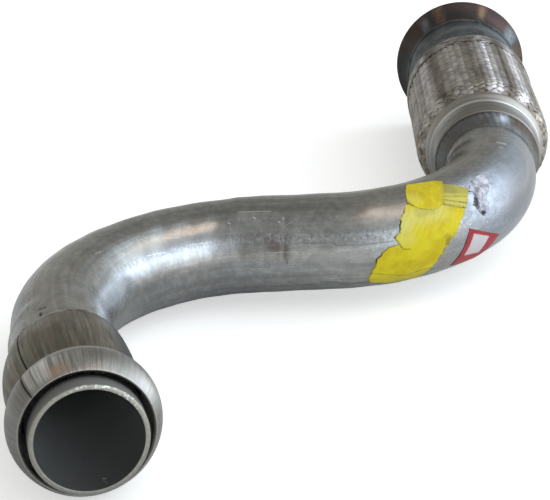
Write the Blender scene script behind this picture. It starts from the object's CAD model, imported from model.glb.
import math

import bpy
import numpy as np
from mathutils import Matrix, Vector


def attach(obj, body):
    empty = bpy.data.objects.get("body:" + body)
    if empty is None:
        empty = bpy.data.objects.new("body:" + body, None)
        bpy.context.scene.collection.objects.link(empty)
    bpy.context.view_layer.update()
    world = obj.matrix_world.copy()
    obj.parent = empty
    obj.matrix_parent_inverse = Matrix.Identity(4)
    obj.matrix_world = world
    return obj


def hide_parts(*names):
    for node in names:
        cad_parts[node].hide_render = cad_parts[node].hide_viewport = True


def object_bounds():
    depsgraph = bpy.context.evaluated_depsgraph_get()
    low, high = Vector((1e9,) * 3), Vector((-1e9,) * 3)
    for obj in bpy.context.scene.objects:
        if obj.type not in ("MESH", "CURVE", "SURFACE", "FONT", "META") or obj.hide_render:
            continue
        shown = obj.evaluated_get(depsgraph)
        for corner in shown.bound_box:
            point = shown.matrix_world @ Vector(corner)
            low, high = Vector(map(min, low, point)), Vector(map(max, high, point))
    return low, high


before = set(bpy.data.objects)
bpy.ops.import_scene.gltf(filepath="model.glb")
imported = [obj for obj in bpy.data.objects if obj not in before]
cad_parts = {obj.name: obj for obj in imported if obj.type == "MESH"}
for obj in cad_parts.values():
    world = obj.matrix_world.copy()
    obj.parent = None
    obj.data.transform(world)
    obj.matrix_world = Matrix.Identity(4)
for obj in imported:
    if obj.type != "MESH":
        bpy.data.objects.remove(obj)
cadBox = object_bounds()
mm = 0.001

# Everything is in metres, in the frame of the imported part. A place on the tube is given by two
# numbers: the way along its centreline from the inlet mouth, in mm, and the angle round it, in
# degrees from the top towards the side that faces the camera.
tubeShape = {
    "radius": 30.0,
    "bore": 27.5,
    "bendRadius": 100.0,
    "nearLength": 128.0,
    "nearBend": 107.5,
    "midLength": 55.0,
    "farBend": 93.0,
    "farLength": 3.0,
    "lean": 3.0,
    "bendFlat": 2.6,
    "settle": 9.0,
    "socket": 22.0,
}
# The part lies on three of its rings, which turns the flat drawing of the centreline to these axes
drawnAxes = np.array([
    (0.999421, 0.001374, 0.034008),
    (0.0, 0.999184, -0.040384),
    (-0.034036, 0.040361, 0.998605),
])


def turnAbout(vector, axis, angle):
    # cosine times the vector, sine times axis cross vector, and the axis' own share of what is left
    vector = np.asarray(vector, float)
    turned = np.outer(np.cos(angle), vector) + np.outer(np.sin(angle), np.cross(axis, vector))
    return turned + np.outer(1 - np.cos(angle), axis * vector.dot(axis))


def tubeLegs():
    # each leg as its end along the centreline and the way it turns: 0 straight, -1 right, 1 left
    bend = tubeShape["bendRadius"]
    lengths = [
        tubeShape["nearLength"],
        bend * math.radians(tubeShape["nearBend"]),
        tubeShape["midLength"],
        bend * math.radians(tubeShape["farBend"]),
        1e4,
    ]
    return list(zip(np.cumsum(lengths), (0, -1, 0, 1, 0)))


def centreline(s):
    # walks the legs and gives for each length s the point in metres, the way ahead and the upward
    # direction: on a straight the point moves ahead, on a bend it turns about the bend's centre
    s = np.atleast_1d(np.asarray(s, float))
    point, ahead, up = (np.zeros((len(s), 3)) for _ in range(3))
    start, way, rise = np.zeros(3), np.array((0.0, 1.0, 0.0)), np.array((0.0, 0.0, 1.0))
    begin = -1e4
    startAt = 0.0
    for number, (end, turn) in enumerate(tubeLegs()):
        if number == 3:
            rise = turnAbout(rise, way, math.radians(tubeShape["lean"]))[0]
        inside = (s > begin) & (s <= end)
        gone = s[inside] - startAt
        if turn:
            centre = start + np.cross(rise, way) * turn * tubeShape["bendRadius"]
            angle = turn * gone / tubeShape["bendRadius"]
            point[inside] = centre + turnAbout(start - centre, rise, angle)
            ahead[inside] = turnAbout(way, rise, angle)
            full = turn * (end - startAt) / tubeShape["bendRadius"]
            start = centre + turnAbout(start - centre, rise, full)[0]
            way = turnAbout(way, rise, full)[0]
        else:
            point[inside] = start + gone[:, None] * way
            ahead[inside] = way
            start = start + (end - startAt) * way
        up[inside] = rise
        begin = end
        startAt = end
    return point @ drawnAxes * mm, ahead @ drawnAxes, up @ drawnAxes


legEnds = [end for end, turn in tubeLegs()]
bendOneStart, midStart = legEnds[:2]
weldAt = legEnds[3] + tubeShape["farLength"]


def ring(s, angle):
    # for grids of lengths and angles: the centre, the way ahead and the direction outwards,
    # which is cosine times up plus sine times the right-hand side
    s, angle = np.broadcast_arrays(np.asarray(s, float), np.radians(angle))
    point, ahead, up = centreline(s.ravel())
    right = np.cross(ahead, up)
    flat = angle.ravel()[:, None]
    out = np.cos(flat) * up + np.sin(flat) * right
    shape = s.shape + (3,)
    return point.reshape(shape), ahead.reshape(shape), out.reshape(shape), right.reshape(shape)


def onTube(s, radius, angle):
    # points at a radius, in mm, round the centreline
    centre, ahead, out, right = ring(s, angle)
    return centre + out * (radius * mm)[..., None]


def bell(value, centre, width):
    # exp of minus half the squared distance in widths
    return np.exp(-0.5 * ((value - centre) / width) ** 2)


def apart(angle, centre):
    # signed difference of two angles in degrees, from -180 to 180
    return (np.asarray(angle, float) - centre + 180) % 360 - 180


def ripple(s, angle, seed, waves, longest, amount):
    # sum of seeded sines over length and angle, with whole waves round the tube
    source = np.random.default_rng(seed)
    total = np.zeros(np.broadcast(s, angle).shape)
    for _ in range(waves):
        across = source.integers(0, 6)
        along = source.uniform(0.4, 3.0) / longest
        phase = source.uniform(0, 2 * math.pi)
        total = total + np.sin(2 * math.pi * along * s + across * np.radians(angle) + phase)
    return total * amount / math.sqrt(waves)


def flat(values, kind=np.float32):
    # an array as the plain row of numbers that foreach_set takes
    return values.reshape(-1).astype(kind)


def buildMesh(name, points, corners, sizes, values, unrolled):
    # a mesh from points and faces, given as all their corners in a row and the count of each; values
    # are attributes of the points, and unrolled is their place along the tube and across it
    mesh = bpy.data.meshes.new(name)
    mesh.vertices.add(points.size // 3)
    mesh.vertices.foreach_set("co", flat(points))
    mesh.loops.add(corners.size)
    mesh.loops.foreach_set("vertex_index", flat(corners, np.int32))
    mesh.polygons.add(len(sizes))
    mesh.polygons.foreach_set("loop_start", flat(np.cumsum(sizes) - sizes, np.int32))
    mesh.polygons.foreach_set("use_smooth", np.ones(len(sizes), bool))
    mesh.update(calc_edges=True)
    for key, value in values.items():
        field = mesh.attributes.new(key, "FLOAT", "POINT")
        field.data.foreach_set("value", flat(np.broadcast_to(value, points.shape[:-1])))
    if unrolled is not None:
        field = mesh.attributes.new("unrolled", "FLOAT_VECTOR", "POINT")
        field.data.foreach_set("vector", flat(np.broadcast_to(unrolled, points.shape)))
    mesh.validate()
    piece = bpy.data.objects.new(name, mesh)
    bpy.context.scene.collection.objects.link(piece)
    return piece


def surface(name, points, values=None, unrolled=None, closed=False):
    # a grid of points as quads; a closed one joins its last lines to its first, both ways
    rows, columns = points.shape[:2]
    i, j = np.meshgrid(np.arange(rows - (not closed)), np.arange(columns - (not closed)), indexing="ij")
    corners = [(i, j), (i + 1, j), (i + 1, j + 1), (i, j + 1)]
    if closed:
        corners = corners[::-1]
    quads = np.stack([(a % rows) * columns + b % columns for a, b in corners], axis=-1).reshape(-1, 4)
    return buildMesh(name, points, quads, np.full(len(quads), 4), values or {}, unrolled)


def unroll(s, radius, angle):
    # a place on the tube in the patterns' space: way along, share upwards and to the right
    turn = np.radians(angle)
    places = np.broadcast_arrays(s * mm, radius * mm * np.cos(turn), radius * mm * np.sin(turn))
    return np.stack(places, axis=-1)


def place(piece, material, nodes):
    # gives a piece its material, its body and slot, and the CAD nodes that it replaces
    piece.data.materials.clear()
    piece.data.materials.append(material)
    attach(piece, "root")
    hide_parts(*nodes)


def nodeMaker(tree):
    # empties a node tree and hands back a short way to add a node: in_ and a socket's name or number
    # joins another socket to it or gives it a value, where a colour is three numbers
    tree.nodes.clear()

    def add(kind, **settings):
        node = tree.nodes.new(kind)
        for key, value in settings.items():
            if not key.startswith("in_"):
                setattr(node, key, value)
                continue
            name = key[3:].replace("_", " ")
            socket = node.inputs[int(name) if name.isdigit() else name]
            if isinstance(value, bpy.types.NodeSocket):
                tree.links.new(value, socket)
            else:
                socket.default_value = (*value, 1.0) if socket.type == "RGBA" else value
        return node

    return add


def newMaterial(name):
    # an empty material and the maker of its nodes
    material = bpy.data.materials.new(name)
    material.use_nodes = True
    return material, nodeMaker(material.node_tree)


def calc(add, operation, *values):
    # one math node; its values are numbers or sockets
    given = {f"in_{number}": value for number, value in enumerate(values)}
    return add("ShaderNodeMath", operation=operation, **given).outputs[0]


def vectorCalc(add, operation, first, second):
    # one vector math node, whose result is a number for a product or a distance
    node = add("ShaderNodeVectorMath", operation=operation, in_0=first, in_1=second)
    return node.outputs["Value" if operation in ("DOT_PRODUCT", "DISTANCE") else "Vector"]


def remap(add, value, low, high, toLow=0.0, toHigh=1.0):
    # carries low..high to toLow..toHigh with a smooth step
    node = add("ShaderNodeMapRange", interpolation_type="SMOOTHSTEP", in_Value=value, in_From_Min=low,
               in_From_Max=high, in_To_Min=toLow, in_To_Max=toHigh)
    return node.outputs["Result"]


def blendColour(add, factor, first, second, mode="MIX"):
    # mixes two colours; each is three numbers or a socket
    node = add("ShaderNodeMix", data_type="RGBA", blend_type=mode, clamp_factor=True, in_0=factor, in_6=first,
               in_7=second)
    return node.outputs[2]


def groupOf(name, inputs):
    # a shader node group from named numbers and vectors to one mask; gives it, its maker and its inputs
    group = bpy.data.node_groups.new(name, "ShaderNodeTree")
    for label, default in inputs.items():
        kind = "NodeSocketFloat" if isinstance(default, float) else "NodeSocketVector"
        group.interface.new_socket(name=label, in_out="INPUT", socket_type=kind).default_value = default
    group.interface.new_socket(name="Mask", in_out="OUTPUT", socket_type="NodeSocketFloat")
    add = nodeMaker(group)
    return group, add, add("NodeGroupInput").outputs


def makeStreaks():
    # noise drawn out along the first coordinate of the vector, so it reads as rolled or drawn lines
    group, add, given = groupOf("drawnStreaks", {
        "Vector": (0, 0, 0), "Across": 900.0, "Along": 12.0, "Low": 0.4, "High": 0.65,
    })
    scale = add("ShaderNodeCombineXYZ", in_0=given["Along"], in_1=given["Across"], in_2=given["Across"])
    drawn = vectorCalc(add, "MULTIPLY", given["Vector"], scale.outputs[0])
    noise = add("ShaderNodeTexNoise", in_Vector=drawn, in_Scale=1.0, in_Detail=4.0)
    add("NodeGroupOutput", in_Mask=remap(add, noise.outputs["Fac"], given["Low"], given["High"]))
    return group


def makeBlotches():
    # soft clouds of noise, stepped between a low and a high mark
    group, add, given = groupOf("softBlotches", {"Vector": (0, 0, 0), "Size": 40.0, "Low": 0.4, "High": 0.6})
    noise = add("ShaderNodeTexNoise", in_Vector=given["Vector"], in_Scale=given["Size"], in_Detail=5.0,
                in_Roughness=0.6)
    add("NodeGroupOutput", in_Mask=remap(add, noise.outputs["Fac"], given["Low"], given["High"]))
    return group


def makeMark():
    # mask of a straight mark: one inside the given width of the line from A to B, soft at its edge
    group, add, given = groupOf("straightMark", {
        "Vector": (0, 0, 0), "A": (0, 0, 0), "B": (0, 0, 0), "Width": 0.001, "Strength": 1.0,
    })
    fromA = vectorCalc(add, "SUBTRACT", given["Vector"], given["A"])
    whole = vectorCalc(add, "SUBTRACT", given["B"], given["A"])
    reach, square = (vectorCalc(add, "DOT_PRODUCT", other, whole) for other in (fromA, whole))
    share = calc(add, "DIVIDE", reach, square)
    share = calc(add, "MINIMUM", calc(add, "MAXIMUM", share, 0.0), 1.0)
    foot = add("ShaderNodeVectorMath", operation="SCALE", in_0=whole, in_Scale=share)
    gap = vectorCalc(add, "DISTANCE", fromA, foot.outputs[0])
    soft = remap(add, calc(add, "DIVIDE", gap, given["Width"]), 1.0, 0.35)
    add("NodeGroupOutput", in_Mask=calc(add, "MULTIPLY", soft, given["Strength"]))
    return group


groups = {"streaks": makeStreaks(), "blotches": makeBlotches(), "mark": makeMark()}


def clouds(size, low, high, depth=1.0):
    # a pattern as its group, its depth and its inputs; with a depth it only falls to one minus it
    return "blotches", depth, {"in_Size": size, "in_Low": low, "in_High": high}


def lines(along, across, low, high, depth=1.0):
    # the same for drawn lines, with a scale along the tube and one across it
    return "streaks", depth, {"in_Along": along, "in_Across": across, "in_Low": low, "in_High": high}


def tint(size, share):
    # the factors of a heat tint: the size of its clouds and how much of it shows
    return [clouds(size, 0.48, 0.6), share]


def mark(start, end, width, strength, radius=tubeShape["radius"]):
    # a straight mark between two places on the tube, each a length and an angle, and its width in mm
    ends = {f"in_{key}": tuple(unroll(s, radius, angle)) for key, (s, angle) in (("A", start), ("B", end))}
    return "mark", 1.0, {**ends, "in_Width": width * mm, "in_Strength": strength}


def maskOf(finish, factors):
    # the product of its factors: attributes of the piece by name, patterns and plain numbers
    add, product = finish["add"], None
    for factor in factors:
        if isinstance(factor, str):
            factor = add("ShaderNodeAttribute", attribute_name=factor).outputs["Fac"]
        elif isinstance(factor, tuple):
            kind, depth, given = factor
            group = add("ShaderNodeGroup", node_tree=groups[kind], in_Vector=finish["vector"], **given)
            factor = group.outputs["Mask"]
            if depth < 1:
                factor = calc(add, "ADD", calc(add, "MULTIPLY", factor, depth), 1 - depth)
        product = factor if product is None else calc(add, "MULTIPLY", product, factor)
    return product


def layer(finish, factors, colour, roughness=None, lift=None):
    # lays a colour and a roughness over a finish where the mask is one, and raises it by lift
    add, mask = finish["add"], maskOf(finish, factors)
    finish["colour"] = blendColour(add, mask, finish["colour"], colour)
    if roughness is not None:
        mix = add("ShaderNodeMix", data_type="FLOAT", in_0=mask, in_2=finish["rough"], in_3=roughness)
        finish["rough"] = mix.outputs[0]
    if lift is not None:
        finish["height"] = calc(add, "ADD", finish["height"], calc(add, "MULTIPLY", mask, lift))


def layered(finish, layers):
    # lays layers over a finish in their order
    for each in layers:
        layer(finish, *each)


def toneBy(finish, mask, low, high):
    # multiplies the colour by a tone that goes from low to high with the mask
    tone = blendColour(finish["add"], mask, low, high)
    finish["colour"] = blendColour(finish["add"], 1.0, finish["colour"], tone, "MULTIPLY")


# The grain that every steel starts from: its scales, the tone of its clouds and streaks, the depth of
# its bumps and how far its roughness spreads
plainGrain = {
    "cloudSize": 32.0, "cloudTone": 0.84, "streakTone": 0.88, "along": 9.0, "across": 520.0, "bump": 0.05,
    "spread": 0.1, "fineSize": 900.0,
}


def startSteel(name, colour, roughness, grain, layers=(), space="unrolled"):
    # a steel whose patterns lie on the unrolled tube or on the object; hands back its state
    material, add = newMaterial(name)
    grain = {**plainGrain, **grain}
    if space == "unrolled":
        vector = add("ShaderNodeAttribute", attribute_name="unrolled").outputs["Vector"]
    else:
        vector = add("ShaderNodeTexCoord").outputs["Object"]
    steel = {"material": material, "add": add, "vector": vector, "bump": grain["bump"], "metallic": 1.0}
    cloud = maskOf(steel, [clouds(grain["cloudSize"], 0.36, 0.64)])
    streak = maskOf(steel, [lines(grain["along"], grain["across"], 0.36, 0.68)])
    steel["colour"] = blendColour(add, cloud, [channel * grain["cloudTone"] for channel in colour], colour)
    toneBy(steel, streak, [grain["streakTone"]] * 3, [1.06] * 3)
    steel["rough"] = remap(add, cloud, 0.0, 1.0, roughness + grain["spread"], roughness)
    fine = add("ShaderNodeTexNoise", in_Vector=vector, in_Scale=grain["fineSize"], in_Detail=3.0)
    steel["height"] = calc(
        add, "ADD", calc(add, "MULTIPLY", streak, 0.5), calc(add, "MULTIPLY", fine.outputs["Fac"], 0.5),
    )
    layered(steel, layers)
    return steel


def finishSteel(steel):
    # joins the layered colour, roughness and height to a shader
    add = steel["add"]
    bump = add("ShaderNodeBump", in_Strength=steel["bump"], in_Distance=0.001, in_Height=steel["height"])
    shader = add("ShaderNodeBsdfPrincipled", in_Metallic=steel["metallic"], in_Base_Color=steel["colour"],
                 in_Roughness=steel["rough"], in_Normal=bump.outputs["Normal"])
    add("ShaderNodeOutputMaterial", in_Surface=shader.outputs[0])
    return steel["material"]


# The tube's finish. A layer is a list of the factors of its mask, a colour, and the roughness and the
# lift where it changes them; a mark is its two ends and its width in mm
tubeMottle = (210, 0.38, 0.66)
tubeBore = tubeShape["bore"]
tubeFinish = {
    "grey": (0.385, 0.388, 0.382),
    "roughness": 0.21,
    "grain": {
        "along": 7.0, "across": 300.0, "cloudTone": 0.88, "streakTone": 0.86, "bump": 0.06, "spread": 0.05,
    },
    "rust": (0.085, 0.055, 0.038),
    "crumble": (240, 0.36, 0.58),
    "bright": (0.85, 0.86, 0.90),
    "dark": (0.055, 0.058, 0.066),
    "cast": [
        ([lines(14, 95, 0.5, 0.66), 0.3], (0.37, 0.34, 0.30), 0.4),
        (["cool", 0.85], (0.308, 0.345, 0.412)),
    ],
    "mottle": ((0.88, 0.88, 0.88), (1.1, 1.1, 1.11)),
    "specks": [
        ([clouds(640, 0.56, 0.7), clouds(26, 0.46, 0.62), 0.6], (0.62, 0.65, 0.72), 0.25, 0.4),
        # a band of fine light and dark specks runs along the outer side
        (["scuffed", lines(520, 620, 0.5, 0.62), 0.42], (0.62, 0.66, 0.76), 0.25, 0.5),
        (["scuffed", lines(760, 260, 0.52, 0.62), 0.62], (0.15, 0.165, 0.20), 0.45, -1.0),
        ([clouds(150, 0.3, 0.62), "smudge"], (0.15, 0.115, 0.095), 0.45),
        ([clouds(420, 0.66, 0.73), 0.55], (0.055, 0.058, 0.066), 0.5, -1.0),
        ([lines(28, 1500, 0.64, 0.72), 0.4], (0.58, 0.60, 0.65), None, 0.6),
    ],
    "wear": [
        (["haze", clouds(190, 0.44, 0.62), 0.5], (0.55, 0.58, 0.66), 0.35, 0.6),
        (["seat", 0.75], (0.09, 0.06, 0.045), 0.6),
        # tempering tones: a bright band and a warm one round the outside of the first bend, with a
        # darker one between, and a scraped patch that scatters the light
        ([clouds(*tubeMottle, 0.3), "sheen"], (0.68, 0.72, 0.80)),
        ([clouds(*tubeMottle, 0.3), "warmBand"], (0.63, 0.54, 0.47)),
        ([clouds(*tubeMottle, 0.3), "darkBand"], (0.21, 0.21, 0.225)),
        ([clouds(*tubeMottle, 0.3), "scraped"], (0.52, 0.56, 0.62)),
        # the mouth: its outside, the soot in the bore with two chips, and the cut edge
        (["spigot"], (0.20, 0.20, 0.195), 0.5),
        (["bore"], (0.055, 0.057, 0.058), 0.85),
        (["deep"], (0.33, 0.335, 0.335), 0.85),
        ([mark((9, 168), (10, 170), 0.9, 0.8, tubeBore)], (0.3, 0.3, 0.29), 0.7),
        ([mark((4, 167), (8, 171), 0.5, 0.6, tubeBore)], (0.2, 0.2, 0.2), 0.7),
        (["rim"], (0.33, 0.32, 0.285), 0.4, 0.3),
        (["rim", clouds(520, 0.50, 0.60), "rimLight"], (0.80, 0.79, 0.75), 0.3, 0.6),
    ],
}
rustMarks = [
    ((106.6, -19), (107, -18.5), 1.5), ((105.7, -15), (106.2, -14.5), 1.5),
    ((101.5, -20), (97, -20.5), 1.3), ((97, -14), (94.5, -20), 1.5), ((464, 44), (465, 45), 1.0),
]
brightMarks = [
    ((303, 40), (305, 42), 0.5), ((321, 35), (322.5, 37), 0.5), ((336.4, 42), (337.6, 44), 0.5),
    ((181, 6), (186, 10), 0.35), ((190, 24), (197, 27), 0.3), ((361, 1), (384, 2), 0.3),
    ((365, 119), (384, 121), 0.3), ((311, 27), (332, 27.5), 0.3), ((508, 12), (509, 22), 1.3),
    ((501, 17), (503, 20), 0.5), ((340, 38), (331, 60), 0.3), ((330, 58), (345, 44), 0.22),
    ((250, 44), (262, 49), 0.25), ((270, 60), (287, 62), 0.25), ((230, 58), (246, 61), 0.25),
    ((304, 36), (305, 50), 0.25), ((322, 40), (322.4, 58), 0.2), ((312, 36), (313, 60), 0.15),
    ((95.5, 52), (101, 45), 0.6), ((104, 57), (121, 52), 0.3), ((120, 60), (140, 66), 0.25),
]
darkMarks = [
    ((340, 34), (338, 64), 0.5), ((338, 64), (341, 92), 0.7), ((341, 92), (343, 128), 0.4),
    ((139, 38), (141, 52), 0.4), ((108, 47), (124, 50), 0.55), ((122, 50), (134, 58), 0.45),
    ((360, 124), (392, 130), 0.7), ((372, 119), (384, 121), 0.5), ((242, 63), (262, 64), 0.3),
    ((300, 66), (318, 68), 0.3), ((352, 70), (398, 73), 0.4), ((318, 96), (330, 97), 0.4),
]


def makeTubeSteel():
    # drawn steel with specks, then the scratches, pits and rust, then its wear and the mouth
    finish = tubeFinish
    steel = startSteel("tubeSteel", finish["grey"], finish["roughness"], finish["grain"], finish["cast"])
    toneBy(steel, maskOf(steel, [clouds(*tubeMottle)]), *finish["mottle"])
    layered(steel, finish["specks"])
    for marks, strength, more, look in (
        (brightMarks, 0.7, [], (finish["bright"], 0.3, 0.8)),
        (darkMarks, 0.4, [], (finish["dark"], 0.5, -0.8)),
        (rustMarks, 0.85, [clouds(*finish["crumble"])], (finish["rust"], 0.6, 0.5)),
    ):
        for start, end, width in marks:
            layer(steel, [mark(start, end, width, strength), *more], *look)
    layered(steel, finish["wear"])
    # soot, the pale mouth and the scraped patch are less metallic
    dull = calc(steel["add"], "MAXIMUM", maskOf(steel, ["bore"]), maskOf(steel, ["spigot", 0.8]))
    dull = calc(steel["add"], "MAXIMUM", dull, maskOf(steel, ["scraped", 0.6]))
    steel["metallic"] = calc(steel["add"], "SUBTRACT", 1.0, dull)
    return finishSteel(steel)


# The woven cover: flat bundles of wires, wound steeply, over one and under one
braidShape = {
    "bundles": 31, "wires": 5, "wireRadius": 0.36, "bundleWidth": 2.95, "slant": 3.0, "lift": 0.36,
    "inset": 0.85, "perCrossing": 3, "frayed": 0.45, "frayAt": 43.0, "start": 36.6, "end": 150.0,
    "backingInset": 1.55, "backingWall": 0.3,
}
braidFinish = {
    "glint": (0.88, 0.88, 0.97),
    "shade": (0.115, 0.092, 0.074),
    "sunk": (0.20, 0.172, 0.150),
    "shine": (0.62, 0.60, 0.56),
    "wireTones": ((0.72, 0.71, 0.70), (1.12, 1.12, 1.12)),
    "bundleTones": ((0.45, 0.43, 0.41), (1.3, 1.29, 1.28)),
    "wireHeight": 3.0,
}

# The other steels: name, colour, roughness, grain and layers, as the tube's are given
steels = {
    "collar": ("collarSteel", (0.298, 0.274, 0.235), 0.36, {
        "along": 26.0, "streakTone": 0.55, "bump": 0.25,
    }, [
        (tint(60, 0.5), (0.20, 0.155, 0.118)),
        (tint(85, 0.5), (0.178, 0.190, 0.152)),
        ([lines(22, 160, 0.52, 0.64), 0.6], (0.13, 0.105, 0.08), 0.45),
        ([clouds(105, 0.5, 0.62), 0.45], (0.20, 0.14, 0.10), 0.42),
        (["grey", 0.8], (0.128, 0.133, 0.145), 0.38),
        (["dark", 0.8], (0.03, 0.028, 0.026), 0.5),
        # the ball's skin is brighter, with scratches along the tube
        (["ball", 0.75], (0.28, 0.275, 0.265), 0.32),
        ([lines(20, 420, 0.5, 0.62), "ball", 0.28], (0.38, 0.38, 0.385), 0.25, 0.12),
        ([lines(8, 900, 0.30, 0.70), "scratched", 0.95], (0.95, 0.96, 0.97), 0.25, 0.06),
        (["glare", lines(8, 900, 0.30, 0.70, 0.35)], (0.95, 0.97, 1.0), 0.3),
        ([clouds(75, 0.3, 0.56), "copper", 0.8], (0.60, 0.41, 0.29), 0.3),
        (["pink", 0.45], (0.33, 0.28, 0.265), 0.3),
        ([clouds(150, 0.4, 0.56), "back", 0.9], (0.11, 0.062, 0.043), 0.6),
        (["backLight", 0.8], (0.46, 0.46, 0.45), 0.35),
        (["seam"], (0.022, 0.015, 0.012), 0.7),
        (["line", 0.8], (0.48, 0.48, 0.47), 0.3),
        (["lip", 0.7], (0.40, 0.395, 0.38), 0.3),
        (["hidden"], (0.55, 0.54, 0.53), 0.8),
    ]),
    "cap": ("capSteel", (0.30, 0.29, 0.275), 0.30, {"along": 240.0, "across": 25.0, "streakTone": 0.84}, [
        (tint(45, 0.4), (0.28, 0.235, 0.19)),
        (tint(60, 0.35), (0.27, 0.285, 0.32)),
        (["brown", 0.7], (0.50, 0.462, 0.430), 0.36),
        (["worn", 0.55], (0.58, 0.60, 0.63), 0.26),
        (["bead"], (0.85, 0.85, 0.84), 0.22),
        (["wiry", 0.7], (0.26, 0.235, 0.21), 0.4),
        (["glint", 0.8], braidFinish["glint"], 0.3),
        (["shade", 0.75], braidFinish["shade"], 0.4),
        ([lines(460, 150, 0.42, 0.6), "wiry"], (0.085, 0.072, 0.062), 0.5, -4.0),
    ]),
    "neck": ("neckSteel", (0.098, 0.111, 0.127), 0.42, {
        "along": 160.0, "across": 40.0, "streakTone": 0.7, "bump": 0.2,
    }, [
        (tint(45, 0.7), (0.05, 0.053, 0.058)),
        (tint(60, 0.4), (0.10, 0.075, 0.062)),
        ([clouds(130, 0.44, 0.6), 0.5], (0.17, 0.195, 0.225), 0.42),
        (["light", 0.7], (0.19, 0.225, 0.27), 0.36),
    ]),
    "flange": ("flangeSteel", (0.088, 0.074, 0.067), 0.44, {"along": 60.0, "across": 60.0, "bump": 0.12}, [
        (tint(40, 0.7), (0.090, 0.056, 0.050)),
        (tint(55, 0.6), (0.060, 0.066, 0.072)),
        (["copper", clouds(150, 0.42, 0.6, 0.55), 0.9], (0.25, 0.16, 0.11), 0.36),
        (["blue", clouds(150, 0.42, 0.6, 0.55), 0.9], (0.24, 0.29, 0.33), 0.36),
        (["red", clouds(150, 0.42, 0.6, 0.55), 0.7], (0.12, 0.055, 0.05), 0.36),
    ]),
    "weld": ("weldMetal", (0.20, 0.208, 0.216), 0.44, {"along": 120.0, "across": 120.0, "bump": 0.25}, [
        (tint(70, 0.6), (0.155, 0.125, 0.108)),
        (["brown", 0.85], (0.088, 0.068, 0.055), 0.45),
        (["blob", 0.9], (0.42, 0.47, 0.56), 0.22),
    ]),
    "tack": ("tackMetal", (0.08, 0.065, 0.055), 0.5, {"across": 300.0, "bump": 0.4}, [], "object"),
    # the hidden tubes and folds inside the flexible section
    "inner": ("innerSteel", (0.16, 0.16, 0.16), 0.42, {"along": 90.0, "across": 90.0}, [], "object"),
    "braid": ("braidWire", (0.53, 0.488, 0.445), 0.30, {
        "along": 60.0, "across": 60.0, "streakTone": 0.9, "bump": 0.03,
    }, [
        (tint(40, 0.45), (0.28, 0.23, 0.185)),
        (tint(60, 0.45), (0.30, 0.31, 0.33)),
    ]),
}


def makeBraidWire():
    # the single wires are ridges across each bundle: half the cosine of the way across it
    finish = braidFinish
    steel = startSteel(*steels["braid"])
    add = steel["add"]
    wave = calc(add, "COSINE", maskOf(steel, ["across", math.pi * braidShape["wires"]]))
    ridge = calc(add, "MULTIPLY", wave, 0.5)
    toneBy(steel, calc(add, "ADD", ridge, 0.5), *finish["wireTones"])
    steel["height"] = calc(add, "ADD", steel["height"], calc(add, "MULTIPLY", ridge, finish["wireHeight"]))
    layer(steel, ["sunk", 0.65], finish["sunk"], 0.42)
    layer(steel, ["glint", 0.95], finish["glint"], 0.26)
    layer(steel, ["shade", 0.85], finish["shade"], 0.4)
    toneBy(steel, maskOf(steel, ["tone"]), *finish["bundleTones"])
    layer(steel, ["shine"], finish["shine"], 0.2)
    return finishSteel(steel)


# Paper labels: the colours of their fields, and those that yellow, red and torn paper cloud into
labelFinish = {
    "yellow": (0.72, 0.60, 0.018),
    "yellowDeep": (0.60, 0.46, 0.012),
    "red": (0.36, 0.035, 0.05),
    "redLight": (0.42, 0.06, 0.065),
    "residue": (0.68, 0.68, 0.78),
    "residueDark": (0.34, 0.345, 0.42),
    "fade": (0.72, 0.66, 0.17),
    "olive": (0.38, 0.335, 0.085),
    "white": (0.66, 0.65, 0.69),
    "dirt": (0.045, 0.042, 0.036),
}


def makePaper(name, colour, other, roughness=0.5, cloudSize=70.0):
    # paper whose colour clouds into another one, under faded, olive and white fields and dirt
    material, add = newMaterial(name)
    vector = add("ShaderNodeAttribute", attribute_name="unrolled").outputs["Vector"]
    paper = {"add": add, "vector": vector, "colour": labelFinish[colour]}
    layer(paper, [clouds(cloudSize, 0.42, 0.62)], labelFinish[other])
    for field in ("fade", "olive", "white"):
        layer(paper, [field], labelFinish[field])
    layer(paper, ["dirt", clouds(260, 0.48, 0.62, 0.55)], labelFinish["dirt"])
    fine = add("ShaderNodeTexNoise", in_Vector=vector, in_Scale=700.0, in_Detail=4.0)
    bump = add("ShaderNodeBump", in_Strength=0.15, in_Distance=0.0005, in_Height=fine.outputs["Fac"])
    shader = add("ShaderNodeBsdfPrincipled", in_Base_Color=paper["colour"], in_Roughness=roughness,
                 in_Specular_IOR_Level=0.22, in_Normal=bump.outputs["Normal"])
    add("ShaderNodeOutputMaterial", in_Surface=shader.outputs[0])
    return material


materials = {key: finishSteel(startSteel(*steel)) for key, steel in steels.items() if key != "braid"}
materials["tube"] = makeTubeSteel()
materials["braid"] = makeBraidWire()
materials["yellow"] = makePaper("yellowPaper", "yellow", "yellowDeep")
materials["red"] = makePaper("redPaper", "red", "redLight")
materials["residue"] = makePaper("tornPaper", "residue", "residueDark", 0.4, 240.0)
print("materials made")


def softened(corners, step):
    # a closed outline of station, radius and reach: a corner with a reach becomes a parabola that
    # starts and ends that far from it, and straight stretches get a point every step
    corners = np.array(corners, float)
    points = []
    for number, corner in enumerate(corners):
        before, after = corners[number - 1][:2], corners[(number + 1) % len(corners)][:2]
        here, reach = corner[:2], corner[2]
        if reach:
            first = here + (before - here) / np.linalg.norm(before - here) * reach
            last = here + (after - here) / np.linalg.norm(after - here) * reach
            t = np.linspace(0, 1, 7)[:, None]
            points.extend((1 - t) ** 2 * first + 2 * t * (1 - t) * here + t**2 * last)
        else:
            points.append(here)
    filled = []
    for here, there in zip(points, points[1:] + points[:1]):
        count = max(1, round(np.linalg.norm(there - here) / step))
        filled.extend(here + (there - here) * k / count for k in range(count))
    return np.array(filled)


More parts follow.
